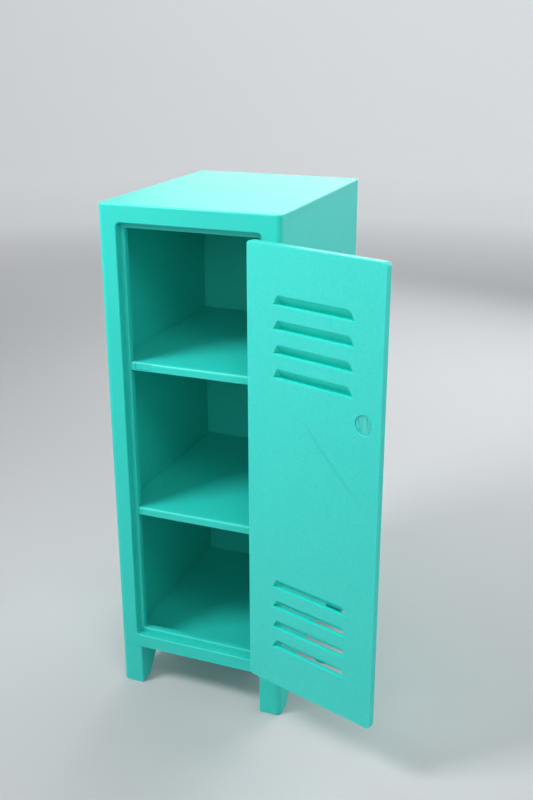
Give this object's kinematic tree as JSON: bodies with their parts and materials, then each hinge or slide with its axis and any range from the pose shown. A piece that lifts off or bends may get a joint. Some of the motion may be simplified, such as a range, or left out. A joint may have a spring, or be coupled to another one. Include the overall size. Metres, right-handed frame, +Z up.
{
  "type": "school locker",
  "caption": "Miniature school locker: a tall box on tapered feet with two fixed shelves, a louvred door on pinned side hinges and a magnet catch.",
  "frame": {"origin": "bottom centre of the bounding box at rest, which is with the door open: on the ground, under the middle of the box that holds the cabinet and the open door", "axes": "+Z up along the cabinet's height; +X to the right as the cabinet is seen from in front, towards the hinge side; +Y from the cabinet's front to its back"},
  "size_m": [0.1028, 0.102, 0.18],
  "materials": {
    "mint_print": "mint printed plastic, satin, with fine layer lines",
    "nickel_plate": "nickel-plated magnet, satin"
  },
  "bodies": {
    "cabinet": {"front_frame": "mint_print", "side_panel_left": "mint_print", "side_panel_right": "mint_print", "top_panel": "mint_print", "base_panel": "mint_print", "back_panel": "mint_print", "foot_front_left": "mint_print", "foot_front_right": "mint_print", "foot_rear_left": "mint_print", "foot_rear_right": "mint_print", "shelf_lower": "mint_print", "shelf_upper": "mint_print", "shelf_magnet": "nickel_plate", "shelf_magnet_cover": "mint_print", "hinge_pin_lower": "mint_print", "hinge_pin_upper": "mint_print"},
    "door": {"door_panel": "mint_print", "door_magnet": "nickel_plate", "door_magnet_cover": "mint_print", "door_pull": "mint_print"}
  },
  "joints": [
    {"name": "door_hinge", "type": "hinge", "parent": "cabinet", "child": "door", "pos_m": [0.00491, -0.03137, 0.09735], "axis": [0, 0, 1], "range_deg": [-162.5, 12.5]}
  ]
}
